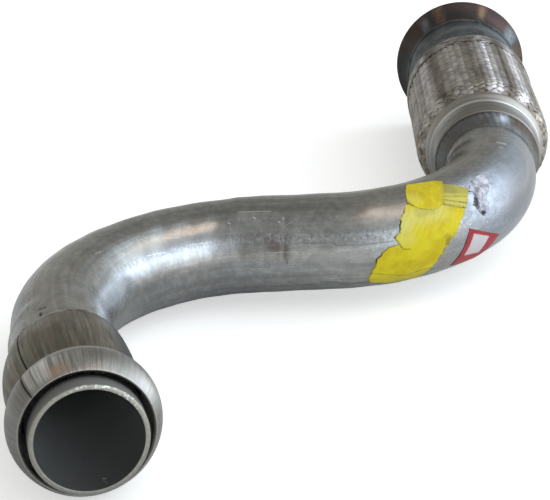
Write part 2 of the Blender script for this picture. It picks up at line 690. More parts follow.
def turned(name, outline, start=0.0, columns=168, shape=None, values=None, angles=None, wrap=None, give=0.05):
    # an outline of station and radius carried round the centreline; shape adds to the radius and
    # values give the attributes, both as functions of station, radius and angle; wrap is the one
    # radius on which the patterns lie, but for a small give, so that lines stay straight on a bulge
    x, y = outline.T
    if np.sum(x * np.roll(y, -1) - np.roll(x, -1) * y) > 0:
        outline = outline[::-1]
    angles = np.arange(columns) * 360 / columns if angles is None else angles
    station, radius = (np.repeat(outline[:, k:k + 1], len(angles), axis=1) for k in (0, 1))
    angle = np.repeat(angles[None], len(outline), axis=0)
    full = radius + (shape(station, radius, angle) if shape else 0)
    points = onTube(start + station, full, angle)
    marks = values(station, radius, angle) if values else {}
    skin = radius if wrap is None else wrap + give * (radius - wrap)
    return surface(name, points, marks, unroll(start + station, skin, angle), True)


def gate(value, low, high, soft):
    # one between low and high, falling smoothly to zero over soft on both sides
    return np.clip((value - low) / soft + 0.5, 0, 1) * np.clip((high - value) / soft + 0.5, 0, 1)


def arcGate(angle, first, last, soft):
    # the same for an arc from first to last degrees round the tube
    middle, half = (first + last) / 2, (last - first) / 2
    return np.clip((half - np.abs(apart(angle, middle))) / soft + 0.5, 0, 1)


def panel(s, angle, low, high, soft, first, last, edge):
    # one over a stretch of the tube and an arc round it
    return gate(s, low, high, soft) * arcGate(angle, first, last, edge)


def spot(s, angle, at, long, turn, wide):
    # a bell along the tube times a bell round it
    return bell(s, at, long) * bell(apart(angle, turn), 0, wide)


pipeShape = {
    "columns": 144, "outerRows": 470, "innerRows": 90, "rimBreak": 0.4, "waviness": 0.12,
    "bumpAt": 311.0, "bumpAngle": 6.0, "bumpHeight": 1.5, "bumpLong": 4.5, "bumpWide": 20.0, "bumpTail": 2.6,
    "creaseAt": 340.0, "creaseFrom": 34.0, "creaseTo": 128.0, "creaseDepth": 0.25, "creaseWidth": 1.3,
    # hollows as their depth, place along and round the tube, each with its width
    "hollows": [(0.35, 139, 1.6, 44, 9), (0.3, 101, 1.8, 52, 8), (0.5, 356, 9, 82, 12)],
}


def pipeHeight(s, angle):
    # how far the tube's outside departs from a round tube: a bump on top past the first bend, a
    # crease across its outside, two wrinkles inside the first bend, a dent and a little waviness
    shape = pipeShape
    long = np.where(s < shape["bumpAt"], 1, shape["bumpTail"]) * shape["bumpLong"]
    bump = spot(s, angle, shape["bumpAt"], long, shape["bumpAngle"], shape["bumpWide"])
    creaseLine = shape["creaseAt"] + 1.2 * np.sin(np.radians(angle * 3))
    crease = 0.6 * bell(s, creaseLine + 4.0, 2.2) - bell(s, creaseLine, shape["creaseWidth"])
    crease = crease * shape["creaseDepth"] * arcGate(angle, shape["creaseFrom"], shape["creaseTo"], 14)
    hollows = sum(depth * spot(s, angle, *where) for depth, *where in shape["hollows"])
    settled = np.clip((s - 95) / 12, 0, 1) * np.clip((535 - s) / 12, 0, 1)
    wave = ripple(s, angle, 4, 9, 60.0, shape["waviness"]) * settled
    return shape["bumpHeight"] * bump + crease - hollows + wave


def pipeMarks(s, angle):
    # fields on the tube's outside: the cut rim and mouth, then bands along the first bend, the
    # scraped patch inside it, the cooler second bend and the smudges near the bump and the labels
    rim = s < pipeShape["rimBreak"] + 0.2
    scraped = sum(share * bell(s, at, long) * bell(angle, turn, wide) for share, at, long, turn, wide in (
        (1, 116, 10, 54, 9), (1, 145, 14, 66, 8), (1, 168, 13, 70, 7), (0.9, 182, 18, 80, 9),
    ))
    return {
        "rim": rim,
        "rimLight": rim * (0.12 + 0.75 * arcGate(angle, -12, 62, 16)),
        "spigot": np.clip((11.5 - s) / 3, 0, 1) * (s > pipeShape["rimBreak"]),
        "scuffed": bell(angle, 62 + 0.01 * (s - 250), 4.5) * gate(s, 172, 402, 18),
        "sheen": 0.7 * bell(angle, 67, 6) * gate(s, 165, 300, 40),
        "warmBand": 0.6 * bell(angle, 44, 4) * gate(s, 222, 296, 26)
        + 0.5 * bell(angle, 28, 9) * gate(s, 382, 412, 14),
        "darkBand": 0.45 * bell(angle, 54, 4) * gate(s, 205, 300, 30)
        + 0.9 * bell(angle, 72, 20) * gate(s, 466, 546, 22),
        "scraped": np.clip(scraped, 0, 1),
        "cool": panel(s, angle, 438, 548, 24, 18, 112, 26),
        "smudge": 0.75 * spot(s, angle, 336, 5, 72, 10) + 0.35 * spot(s, angle, 325, 14, 62, 8),
        "haze": panel(s, angle, 441, 472, 7, 24, 78, 16),
        "seat": bell(s, 92.5, 2.2) * (0.35 + 0.65 * arcGate(angle, -75, 5, 30)),
    }


def makePipe():
    # rows run along the outside to the far end, over its edge, back along the bore and over the mouth
    shape = pipeShape
    radius, bore, edge = tubeShape["radius"], tubeShape["bore"], pipeShape["rimBreak"]
    end = weldAt + tubeShape["socket"]
    angles = np.arange(shape["columns"]) * 360 / shape["columns"]
    dense = np.concatenate([[edge, edge + 0.3], np.linspace(1.5, 300, 225), np.linspace(301, 352, 80)])
    outer = np.concatenate([dense, np.linspace(353.5, end, shape["outerRows"] - len(dense))])
    inner = np.append(np.linspace(end, 1.0, shape["innerRows"]), 0.3)
    s = np.concatenate([outer, inner, [0.05, 0.0, 0.0]])
    base = np.concatenate([
        np.full(len(outer), radius), np.full(len(inner), bore), [bore, bore + 0.15, radius - edge],
    ])
    bored = np.concatenate([np.zeros(len(outer)), np.ones(len(inner)), [0.0, 0.0, 0.0]])
    s, base, bored = (np.repeat(v[:, None], len(angles), axis=1) for v in (s, base, bored))
    angle = np.repeat(angles[None], len(s), axis=0)
    # on the first bend the outer side is drawn in
    flat = np.clip(np.minimum(s - bendOneStart, midStart - s) / tubeShape["settle"] + 1, 0, 1)
    drawnIn = tubeShape["bendFlat"] / 2 * flat
    full = base + pipeHeight(s, angle) * (1 - bored)
    centre, ahead, out, right = ring(s, angle)
    sideways = drawnIn + (full - drawnIn) * np.sin(np.radians(angle))
    upwards = full * np.cos(np.radians(angle))
    points = centre + (right * sideways[..., None] + np.cross(right, ahead) * upwards[..., None]) * mm
    values = {key: (1 - bored) * value for key, value in pipeMarks(s, angle).items()}
    values["bore"] = bored
    values["deep"] = bored * np.clip((s - 4) / 70, 0, 1)
    piece = surface("pipeTube", points, values, unroll(s, base, angle), True)
    place(piece, materials["tube"], ["main_pipe"])


# The ball collar, in mm back from the inlet mouth
collarShape = {
    "wall": 2.0, "lipAt": 8.0, "lipRadius": 34.3, "ballAt": 23.3, "ballRadius": 39.6, "backRadius": 11.2,
    "waistAt": 42.0, "waistRadius": 33.1, "waistBlend": 7.0,
    "barrelRise": 1.2, "barrelLean": 1.5, "sleeveEnd": 92.0, "sleeveRadius": 32.15,
    "seamAngle": -45.0, "seamWidth": 0.42, "seamDepth": 0.7, "columns": 190, "wrap": 36.0,
    "slip": 0.15,
}


def barrelSwell(station):
    # one minus the squared share of the way from the barrel's middle to its ends
    shape = collarShape
    t = np.clip((station - shape["waistAt"]) / (shape["sleeveEnd"] - shape["waistAt"]), 0, 1)
    return t, 4 * t * (1 - t)


def collarOutside(station):
    # radius of the outside: a wide arc up to the ball's crest, a tight one behind it, an arc the
    # other way into the waist, then the waist's radius with the barrel's swell added to its taper
    shape = collarShape
    rise = shape["ballRadius"] - shape["lipRadius"]
    frontRadius = (rise**2 + (shape["ballAt"] - shape["lipAt"]) ** 2) / (2 * rise)
    past = station - shape["ballAt"]
    drop = lambda arc: arc - np.sqrt(np.maximum(arc**2 - past**2, 0))
    front, back = shape["ballRadius"] - drop(frontRadius), shape["ballRadius"] - drop(shape["backRadius"])
    reach = shape["backRadius"] + shape["waistBlend"]
    high = shape["waistRadius"] + shape["waistBlend"]
    low = shape["ballRadius"] - shape["backRadius"]
    blendAt = shape["ballAt"] + math.sqrt(reach**2 - (high - low) ** 2)
    meet = shape["ballAt"] + (blendAt - shape["ballAt"]) * shape["backRadius"] / reach
    blend = high - np.sqrt(np.maximum(shape["waistBlend"] ** 2 - (station - blendAt) ** 2, 0))
    t, swell = barrelSwell(station)
    taper = (shape["sleeveRadius"] - shape["waistRadius"]) * t
    barrel = shape["waistRadius"] + taper + shape["barrelRise"] * swell
    steps = [station < shape["ballAt"], station < meet, station < blendAt]
    return np.select(steps, [front, back, blend], barrel)


def makeCollar():
    # the outside line, and the same line set in by the wall square to it, carried round; the angles
    # are closer together at the open seam
    shape = collarShape
    sleeveEnd, sleeveRadius = shape["sleeveEnd"], shape["sleeveRadius"]
    outer = np.concatenate([np.linspace(shape["lipAt"], 40, 66), np.linspace(41, sleeveEnd - 0.4, 44)])
    outside = collarOutside(outer)
    slope = np.gradient(outside, outer)
    inset = shape["wall"] / np.sqrt(1 + slope**2)
    inner = outer + slope * inset
    inside = outside - inset
    order = np.argsort(inner)[::-1][::2]
    innerLine = np.stack([inner[order], inside[order]], axis=1)
    innerLine = innerLine[innerLine[:, 0] < sleeveEnd - 0.5]
    edge = np.array([
        (sleeveEnd - 0.1, sleeveRadius - 0.12), (sleeveEnd, sleeveRadius - 0.5),
        (sleeveEnd, tubeShape["radius"] + shape["slip"]),
    ])
    # the lip's cut edge, with both its corners a little broken
    lip = np.array([inner[0], inside[0]])
    mouth = np.array([outer[0], outside[0]])
    broken = np.array([lip + (mouth - lip) * share for share in (0.12, 0.5, 0.86)])
    outline = np.concatenate([np.stack([outer, outside], axis=1), edge, innerLine, broken])
    seam = shape["seamAngle"]
    near = seam + np.linspace(-4, 4, 33)
    rest = np.linspace(seam + 4, seam + 356, shape["columns"] - 31)[1:-1]
    angles = np.concatenate([near, rest])

    def outerSkin(s, r):
        # one on the sheet's outside, from the lip on
        return (r > collarOutside(s) - 0.6) & (s > shape["lipAt"] - 0.1)

    def height(s, r, a):
        # the barrel's circles grow by their lean and move left by it, so their right side stays
        lean = shape["barrelLean"] * barrelSwell(s)[1]
        turn = np.radians(a)
        full = -lean * np.sin(turn) + np.sqrt((r + lean) ** 2 - (lean * np.cos(turn)) ** 2)
        groove = -shape["seamDepth"] * bell(apart(a, seam), 0, shape["seamWidth"])
        ragged = np.minimum(ripple(s * 0.2, a, 8, 8, 10.0, 0.05), 0) * gate(s, 10, 90, 4)
        return (groove * (s > 8.4) + ragged) * outerSkin(s, r) + full - r

    def marks(s, r, a):
        # fields on the ball, its lip, the barrel and its back edge; the hollow between the lip and
        # the tube is dark from a few millimetres in
        skin = outerSkin(s, r)
        scratched = panel(s, a, 10, 24, 5, -42, -18, 8) + 0.6 * panel(s, a, 10, 22, 5, -20, 8, 14)
        return {
            "ball": gate(s, 4, 31, 5) * skin,
            "scratched": np.clip(scratched, 0, 1) * skin,
            "glare": 0.95 * spot(s, a, 16, 5, 62, 11) * skin,
            "copper": panel(s, a, 6, 14.5, 4, -25, -9, 9) * skin,
            "pink": panel(s, a, 6, 13, 5, -10, 24, 12) * skin,
            "back": np.clip((s - 85.5 + 1.5 * np.sin(np.radians(a * 7))) / 4, 0, 1),
            "backLight": panel(s, a, 88.5, 93, 1.5, -34, 4, 8),
            "seam": bell(apart(a, seam), 0, shape["seamWidth"] * 1.3) * (s < 91.9),
            "line": bell(s, 24.4, 0.9) * arcGate(a, -22, 26, 14) * skin,
            "lip": (s < 9.3) * (r > 32.4) * np.clip((9.3 - s) / 1.2, 0, 1),
            "hidden": (r < collarOutside(s) - 1.2) * np.clip((s - 9.3) / 2.5, 0, 1),
            "grey": panel(s, a, 40, 90, 8, 44, 80, 14),
            "dark": bell(a, 39 - 0.15 * (s - 60), 1.1) * gate(s, 55, 68, 3),
        }

    piece = turned("ballCollar", outline, shape=height, angles=angles, wrap=shape["wrap"], values=marks)
    place(piece, materials["collar"], ["ball_collar"])


# The flexible section, in mm from the weld toe; its caps, welds, neck and flange are turned
flexShape = {
    "nippleOuter": 31.65, "capFace": 14.5, "capFaceRadius": 36.0, "capEdgeAt": 31.0, "capEdgeRadius": 38.0,
    "capShoulderAt": 35.5, "capRimRadius": 41.0, "capEnd": 38.5, "capWall": 1.5,
    "braidRadius": 46.5, "braidFull": 50.0,
    "farCapStart": 139.0, "farCapEnd": 154.0, "farCapRadius": 46.8, "farCapHole": 35.55,
    "neckRadius": 42.2, "neckWall": 2.0, "neckEnd": 207.65,
    "flangeStart": 207.7, "flareStart": 209.0, "flareAt": 225.5, "flangeEnd": 228.5, "flangeRadius": 50.3,
}


def sheetOutline(spine, wall, reaches, step=1.5):
    # the spine is the outside of a bent sheet; its inside is the same line set in by the wall
    spine = np.array(spine, float)
    ways = np.diff(spine, axis=0)
    normals = np.stack([ways[:, 1], -ways[:, 0]], axis=1) / np.linalg.norm(ways, axis=1)[:, None]
    mitre = normals[:-1] + normals[1:]
    mitre = 2 * mitre / np.sum(mitre**2, axis=1)[:, None]
    inside = spine + wall * np.concatenate([normals[:1], mitre, normals[-1:]])
    outer = [(*p, r) for p, r in zip(spine, reaches)]
    inner = [(*p, max(0, r - wall)) for p, r in zip(inside, reaches)]
    return softened(outer + inner[::-1], step)


def makeNearCap():
    # a pressed cup: a face, a cone, a shoulder and a rim, with a raised bead round the cone's end
    shape = flexShape
    outline = sheetOutline([
        (shape["capFace"], shape["nippleOuter"] + 0.05), (shape["capFace"], shape["capFaceRadius"]),
        (shape["capEdgeAt"], shape["capEdgeRadius"]), (shape["capShoulderAt"], shape["capRimRadius"]),
        (shape["capEnd"], shape["capRimRadius"]),
    ], shape["capWall"], (0, 1.2, 0, 1.9, 0.3), 0.5)

    def bead(s, r, a):
        # a bell across the cone's end, on the sheet's outside only
        stations = (shape["capFace"], shape["capEdgeAt"], shape["capShoulderAt"])
        radii = (shape["capFaceRadius"], shape["capEdgeRadius"], shape["capRimRadius"])
        return bell(s, shape["capEdgeAt"] - 1.3, 1.0) * (r > np.interp(s, stations, radii) - 0.9)

    def marks(s, r, a):
        # the bright bead, two worn fields beside it and the brown rim
        return {
            "bead": bead(s, r, a) * (0.35 + 0.65 * arcGate(a, -58, 84, 20)),
            "worn": np.clip(panel(s, a, 22, 32, 3, 22, 82, 26) + panel(s, a, 24, 31, 3, -62, -30, 18), 0, 1),
            "brown": gate(s, 32.5, 39, 2) * 0.7 + 0.3 * arcGate(a, -80, -44, 16),
        }

    piece = turned("nearCap", outline, weldAt, 200, shape=lambda s, r, a: 0.7 * bead(s, r, a), values=marks)
    place(piece, materials["cap"], ["near_end_cap"])


def makeFarCap():
    # a plain cup: a rim with one rounded corner into its face
    shape = flexShape
    outline = sheetOutline([
        (shape["farCapStart"], shape["farCapRadius"]), (shape["farCapEnd"], shape["farCapRadius"]),
        (shape["farCapEnd"], shape["farCapHole"]),
    ], shape["capWall"], (0.4, 3.0, 0), 1.2)

    def marks(s, r, a):
        # the cover's columns run on over the cap's outside
        outside = r > 46
        glint, shade = (column * gate(s, 130, 153, 2) * outside for column in braidColumns(s, a))
        wiry = 0.9 * gate(s, 130, 152.5, 2.5) * outside
        return {"brown": 1.0 + 0 * s, "wiry": wiry, "glint": glint, "shade": shade}

    piece = turned("farCap", outline, weldAt, 180, values=marks)
    place(piece, materials["cap"], ["far_end_cap"])


def makeNeck():
    # a straight tube: a rectangle of the wall carried round
    shape = flexShape
    start, end, inside = shape["farCapEnd"] + 0.05, shape["neckEnd"], shape["neckRadius"] - shape["neckWall"]
    outline = softened([
        (start, shape["neckRadius"], 0), (end, shape["neckRadius"], 0), (end, inside, 0), (start, inside, 0),
    ], 2.0)
    piece = turned("neckTube", outline, weldAt, values=lambda s, r, a: {
        "light": bell(s, 187 + 3 * np.sin(np.radians(a * 2)), 3.5) * arcGate(a, -24, 62, 30),
    })
    place(piece, materials["neck"], ["neck_tube"])


def makeFlange():
    # the flare is an arc tangent to the neck, then a short straight rim
    shape = flexShape
    reach, rise = shape["flareAt"] - shape["flareStart"], shape["flangeRadius"] - shape["neckRadius"]
    arc = (reach**2 + rise**2) / (2 * rise)
    turn = np.linspace(0, math.asin(reach / arc), 22)
    station, radius = shape["flareStart"] + arc * np.sin(turn), shape["neckRadius"] + arc * (1 - np.cos(turn))
    spine = np.concatenate([
        [(shape["flangeStart"], shape["neckRadius"])], np.stack([station, radius], axis=1),
        [(shape["flangeEnd"], shape["flangeRadius"])],
    ])
    outline = sheetOutline(spine, shape["neckWall"], [0] * (len(spine) - 1) + [0.5], 0.9)
    piece = turned("outletFlange", outline, weldAt, 192, values=lambda s, r, a: {
        "copper": gate(s, 211, 226, 3) * (
            arcGate(a, -24, -15, 5) + arcGate(a, 20, 27, 4) + 0.4 * arcGate(a, 78, 92, 9)),
        "blue": gate(s, 210, 224, 5) * (0.8 * arcGate(a, -41, -33, 5) + arcGate(a, 55, 68, 7)),
        "red": panel(s, a, 211, 224, 4, 30, 52, 9),
    })
    place(piece, materials["flange"], ["outlet_flange"])


# The weld's section as station, radius and reach, its thick blob, and the two beads on the neck:
# where each starts, its width, height, seed and ripples
weldShape = {
    "toe": 0.8, "root": 30.05, "slope": 0.35, "blobAngle": 17, "beadRoot": 42.25,
    "section": [(7.75, 32.35, 3.5), (14.3, 35.4, 0.4), (14.45, 31.7, 0), (7.95, 31.7, 0)], "step": 7.95,
    "beads": {
        "neckWeld": ("neck_weld", 154.1, 2.3, 2.2, 13),
        "flangeWeld": ("flange_weld", 202.65, 5.0, 0.9, 14),
    },
}


def makeFlexWeld():
    # the fillet's hollow face has the ripples of a hand-laid bead and one thick, blue blob
    toe, root = weldShape["toe"], weldShape["root"]
    outline = softened([(toe, root, 0), *weldShape["section"], (weldShape["step"], root, 0)], 0.55)

    def ripples(s, r, a):
        # a sine round the tube, slanted along it, plus seeded ripples and the blob's bell
        beads = 0.16 * np.sin(np.radians(a) * 46 + (s - 6) * 0.35) + ripple(s, a * 2, 3, 7, 30.0, 0.14)
        blob = 0.9 * spot(s, a, 9, 3, weldShape["blobAngle"], 5)
        face = np.clip((r - root - (s - toe) * weldShape["slope"]) / 0.4 + 0.6, 0, 1)
        return (beads + blob) * face * gate(s, 1.5, 14.0, 1.2)

    piece = turned("flexWeld", outline, weldAt, 280, shape=ripples, values=lambda s, r, a: {
        "blob": np.clip(1.2 * bell(apart(a, weldShape["blobAngle"]), 0, 5.5), 0, 1) * bell(s, 9, 3.2),
        "brown": arcGate(a, 27, 82, 12) * gate(s, 6, 16, 5) + 0.9 * gate(s, 12.4, 16, 1.5),
    })
    place(piece, materials["weld"], ["flex_weld"])


def makeSeamBead(name, node, start, width, height, seed):
    # a weld bead of half-round section with close ripples along it
    root = weldShape["beadRoot"]
    turn = np.linspace(0, math.pi, 9)
    outline = np.stack([start + width / 2 * (1 - np.cos(turn)), root + height * np.sin(turn)], axis=1)
    outline = np.concatenate([outline, [(start + width / 2, root)]])
    piece = turned(name, outline, weldAt, 300, shape=lambda s, r, a: (r > root + 0.2) * (
        0.1 * np.sin(np.radians(a) * 64) + ripple(s, a * 2, seed, 6, 40.0, 0.06)))
    place(piece, materials["neck"], [node])


def braidRadiusAt(station):
    # the cover's own outline: pressed in under both caps and full between them
    shape = flexShape
    full = shape["braidRadius"]
    near = shape["capRimRadius"] - shape["capWall"] - 0.3
    far = shape["farCapRadius"] - shape["capWall"] - 0.6
    soft = np.clip((station - shape["capEnd"]) / (shape["braidFull"] - shape["capEnd"]), 0, 1)
    out = np.clip((station - shape["farCapStart"] + 0.6) / 1.5, 0, 1)
    return near + (full - near) * np.sin(soft * math.pi / 2) - (full - far) * out


# Bright and dark columns along the cover: how strong each is, its angle and its width
braidLooks = {
    "glint": [(1, 14, 5.8), (0.85, 42, 4), (0.55, -46, 4.5), (0.35, -17, 5)],
    "shade": [(1, 28, 4.2), (0.8, -36, 4), (0.6, 2, 4), (0.6, 56, 5)],
    "askew": 2.5,
}


def braidColumns(station, angle):
    # sums of bells round the tube, a little askew along it
    askew = apart(angle, -braidLooks["askew"] * (station - 45) / 100)
    return [
        np.clip(sum(share * bell(askew, at, wide) for share, at, wide in braidLooks[key]), 0, 1)
        for key in ("glint", "shade")
    ]


def makeBraid(name, side):
    # bundles wound round the cover: the angle grows with the station, and the radius goes up and down
    # with the cosine of the way between crossings
    shape = braidShape
    source = np.random.default_rng(20 + side)
    count = shape["bundles"]
    pitch = math.pi * flexShape["braidRadius"] / count / shape["slant"]
    crossings = (shape["end"] - shape["start"]) / pitch
    station = np.linspace(shape["start"], shape["end"], int(crossings * shape["perCrossing"]))[None, :]
    loose = bell(station, shape["frayAt"], 3.2) * source.normal(0, shape["frayed"], (count, 1))
    loose = loose + 0.25 * np.sin(station * 0.13 + source.uniform(0, 6, (count, 1)))
    angle = np.arange(count)[:, None] * 360 / count + loose
    angle = angle + side * shape["slant"] * np.degrees(station / flexShape["braidRadius"])
    weave = side * np.cos(math.pi * station / pitch)
    puff = bell(station, shape["frayAt"] + 1, 2.2) * source.uniform(-0.05, 0.15, (count, 1))
    radius = braidRadiusAt(station) - shape["inset"] + shape["lift"] * weave + puff
    centre, ahead, out, right = ring(weldAt + station, angle)
    point = centre + out * (radius * mm)[..., None]
    along = np.gradient(point, axis=1)
    # the bundles lie flat on the cover, also where it slopes into the caps
    tilt = np.arctan(np.clip(np.gradient(braidRadiusAt(station[0]), station[0]), -1.2, 1.2))[None, :, None]
    normal = out * np.cos(tilt) - ahead * np.sin(tilt)
    across = np.cross(along, normal)
    across = across / np.linalg.norm(across, axis=2, keepdims=True)
    # the section is a flat bundle, rounded on top and closed at both edges
    half = shape["bundleWidth"] / 2
    section = np.array([(-1, 0), (-0.7, 0.8), (0, 1), (0.7, 0.8), (1, 0), (0.6, -0.6), (-0.6, -0.6)])
    # on a slope the bundles are spread by one over its cosine, so that few gaps show
    narrow = 1.04 / np.cos(tilt[..., 0]) - 0.2 * bell(station, source.uniform(46, 130, (count, 1)), 2.5)
    narrow = narrow - bell(station, shape["frayAt"], 2.0) * source.uniform(-0.05, 0.1, (count, 1))
    width = section[None, None, :, 0] * half * narrow[..., None]
    grid = point[:, :, None] + across[:, :, None] * (width * mm)[..., None]
    grid = grid + normal[:, :, None] * (section[:, 1] * shape["wireRadius"] * mm)[None, None, :, None]
    tone = 0.5 - 0.04 * side + source.uniform(-0.2, 0.2, (count, 1)) + 0.2 * np.sin(
        station * 1.3 + source.uniform(0, 6, (count, 1)))
    loops = bell(station, 43.5, 2.4) * (bell(apart(angle, -46), 0, 5) + 0.8 * bell(apart(angle, -64), 0, 4))
    shine = np.clip(0.6 * bell(station, 46.5, 1.6) * source.uniform(-0.4, 1.0, (count, 1)) + loops, 0, 1)
    glint, shade = braidColumns(station, angle)
    # the edges of a bundle that dives under the next one are in the dark
    sunk = np.clip(0.6 - 0.9 * weave, 0, 1) + 0 * angle
    values = {"tone": tone, "shine": shine, "glint": glint * (1 - 0.75 * sunk), "shade": shade, "sunk": sunk}
    values = {key: value[..., None] for key, value in values.items()}
    values["across"] = section[:, 0]
    unrolled = unroll(weldAt + station, flexShape["braidRadius"], angle)[:, :, None]
    place(bundleMesh(name, grid, values, unrolled), materials["braid"], ["outer_braid"])


def bundleMesh(name, grid, values, unrolled):
    # each bundle is its own tube of quads with a flat end made of its section
    count, samples, corners = grid.shape[:3]
    i, j, k = np.meshgrid(np.arange(count), np.arange(samples - 1), np.arange(corners), indexing="ij")
    number = lambda a, b, c: (a * samples + b) * corners + c % corners
    quads = np.stack([number(i, j, k), number(i, j, k + 1), number(i, j + 1, k + 1), number(i, j + 1, k)], -1)
    ends = [
        number(np.arange(count)[:, None], row, np.arange(corners)[None, ::way]).reshape(-1)
        for row, way in ((0, -1), (samples - 1, 1))
    ]
    faces = np.concatenate([quads.reshape(-1), *ends])
    sizes = np.concatenate([np.full(quads.size // 4, 4), np.full(2 * count, corners)])
    return buildMesh(name, grid, faces, sizes, values, unrolled)


def makeBacking():
    # the layer of wires under the cover, which closes the small gaps between its bundles
    station = np.concatenate([np.linspace(braidShape["start"], 52, 24), np.linspace(56, 139, 16)])
    outside = braidRadiusAt(station) - braidShape["backingInset"]
    outline = np.concatenate([
        np.stack([station, outside], axis=1),
        np.stack([station[::-1], outside[::-1] - braidShape["backingWall"]], axis=1),
    ])

    def marks(s, r, a):
        # crossing sines for the wires' tones, with the cover's columns on top of them
        glint, shade = braidColumns(s, a)
        return {
            "tone": 0.5 + 0.5 * np.sin(s * 2.9 + a * 0.8), "sunk": 0.12 + 0.12 * np.sin(s * 1.7 - a * 0.5),
            "glint": 0.6 * glint, "shade": shade, "shine": 0.0, "across": 0.0,
        }

    piece = turned("braidBacking", outline, weldAt, 184, values=marks)
    place(piece, materials["braid"], ["outer_braid"])


# Labels: each is a patch between a left and a right edge, both given from the top down as places
# on the tube, with as many points on one as on the other; gap is how far it stands off the tube
paperThick = 0.1
labelShapes = {
    "largeLabel": {
        "node": "label_yellow_large", "slot": "yellow_label", "material": "yellow",
        "left": [
            (409, 32), (407, 40), (404, 49), (402, 63), (399, 69), (401.5, 78), (395, 80), (390, 91),
            (387, 107), (385.5, 120), (386, 130), (396, 140),
        ],
        "right": [
            (428, 43), (435, 50), (440, 58), (435, 69), (433, 75), (430, 83), (427, 89), (424, 97),
            (421, 108), (419, 120), (416, 130), (411, 142),
        ],
        "crease": 0.16, "torn": 0.7, "rows": 190, "columns": 110, "seed": 5, "gap": 0.16,
    },
    "fadedStrip": {
        "node": "label_yellow_small", "slot": "yellow_label", "material": "yellow",
        "left": [(434, 12), (431, 30), (429, 40), (429.5, 47)],
        "right": [(442, 25), (448, 36), (445, 45), (440, 57)],
        "crease": 0.12, "torn": 0.5, "rows": 70, "columns": 50, "seed": 7, "gap": 0.28,
    },
    "smallLabel": {
        "node": "label_yellow_small", "slot": "yellow_label", "material": "yellow",
        "left": [(417, -3), (414, 8), (412, 16), (410, 30), (412, 36), (416, 42), (421, 46)],
        "right": [(434, 6), (438, 13), (435.5, 21), (433, 29), (431, 36), (429, 43), (424, 47)],
        "crease": 0.12, "torn": 0.25, "rows": 100, "columns": 70, "seed": 6, "gap": 0.48,
    },
    "redLabel": {
        "node": "label_red", "slot": "red_label", "material": "red",
        "left": [(439, 81), (437, 94), (434.5, 109), (431, 133)],
        "right": [(461, 109), (459, 117), (457, 125), (453, 143)],
        "crease": 0.12, "torn": 0.3, "rows": 110, "columns": 90, "seed": 8, "gap": 0.16,
    },
    "tornResidue": {
        "node": "label_residue", "slot": "label_residue", "material": "residue",
        "left": [(457, 26), (450, 33), (448.5, 40), (450, 47), (447, 53), (446, 60), (446.5, 67), (449, 74)],
        "right": [(463, 27), (465, 35), (462, 43), (459, 50), (455, 54), (455, 62), (453, 69), (451, 75)],
        "crease": 0.4, "torn": 1.5, "rows": 110, "columns": 60, "seed": 9, "gap": 0.18,
    },
}


def edgeLine(points, rows, source, torn):
    # the edge at evenly spaced rows, with a running mean of seeded noise across its way
    points = np.array(points, float)
    share = np.linspace(0, len(points) - 1, rows)
    line = np.stack([np.interp(share, np.arange(len(points)), points[:, k]) for k in (0, 1)], axis=1)
    wander = np.convolve(source.normal(0, 1, rows + 4), np.ones(5) / 5, "valid") * torn
    line[:, 0] += wander * gate(np.linspace(0, 1, rows), 0, 1, 0.1)
    return line


def makeLabel(name, shape, marks):
    # a point is its share of the way from the left edge to the right one; the paper stands off by
    # ridges of folded noise, and its edges wander by a few tenths
    source = np.random.default_rng(shape["seed"])
    left, right = (edgeLine(shape[side], shape["rows"], source, shape["torn"]) for side in ("left", "right"))
    u, v = np.meshgrid(np.linspace(0, 1, shape["columns"]), np.linspace(0, 1, shape["rows"]))
    s, angle = (left[:, k:k + 1] + (right[:, k:k + 1] - left[:, k:k + 1]) * u for k in (0, 1))
    folds = np.abs(ripple(s, angle * 3, shape["seed"], 10, 22.0, 1.0))
    sharp = np.abs(ripple(s * 1.7, angle * 5, shape["seed"] + 40, 8, 22.0, 1.0))
    height = shape["crease"] * (np.clip(1 - folds * 2.2, 0, 1) + 0.5 * np.clip(1 - sharp * 3, 0, 1))
    values = {"dirt": 0.0, "fade": 0.0, "white": 0.0, "olive": 0.0, "fold": 0.0, **marks(s, angle, u, v)}
    height = height + values.pop("fold") + np.maximum(pipeHeight(s, angle), 0)
    points = onTube(s, tubeShape["radius"] + shape["gap"] + height, angle)
    edge = np.minimum(np.minimum(u, 1 - u) * (right[:, :1] - left[:, :1]), np.minimum(v, 1 - v) * 40)
    values["dirt"] = np.clip(values["dirt"] + 0.7 * np.clip(1 - edge / 0.45, 0, 1), 0, 1)
    piece = surface(name, points, values, unroll(s, tubeShape["radius"], angle))
    thick = piece.modifiers.new("paper", "SOLIDIFY")
    thick.thickness = paperThick * mm
    thick.offset = -1
    place(piece, materials[shape["material"]], [shape["node"]])


def stroke(s, angle, path, width):
    # one inside the given width of a bent line of places on the tube, in mm round it as well
    arc = np.radians(1) * tubeShape["radius"]
    nearest = np.full(s.shape, 1e9)
    for (s0, a0), (s1, a1) in zip(path, path[1:]):
        ds, da = s1 - s0, (a1 - a0) * arc
        share = np.clip(((s - s0) * ds + (angle - a0) * arc * da) / (ds * ds + da * da), 0, 1)
        nearest = np.minimum(nearest, np.hypot(s - s0 - share * ds, (angle - a0) * arc - share * da))
    return np.clip(1.9 - nearest / width * 1.6, 0, 1)


# The lines of creases, tears and dirt on the labels, as places on the tube
labelLines = {
    "folds": [[(429.5, 38), (443, 53)], [(431, 34), (445.5, 46)], [(429.5, 45), (440, 56)]],
    "tear": [(400.5, 76), (402.5, 84), (406, 86)],
    "lowCrack": [(386, 110), (396, 118), (404, 124), (412, 121), (419, 122)],
    "dent": [(412, 50), (424, 66), (430, 84)],
    "residueEdge": [(453, 42), (449.5, 47), (447.2, 57), (447.6, 66), (450, 71)],
    "residueLine": [(452, 30), (456, 40), (458, 50)],
}


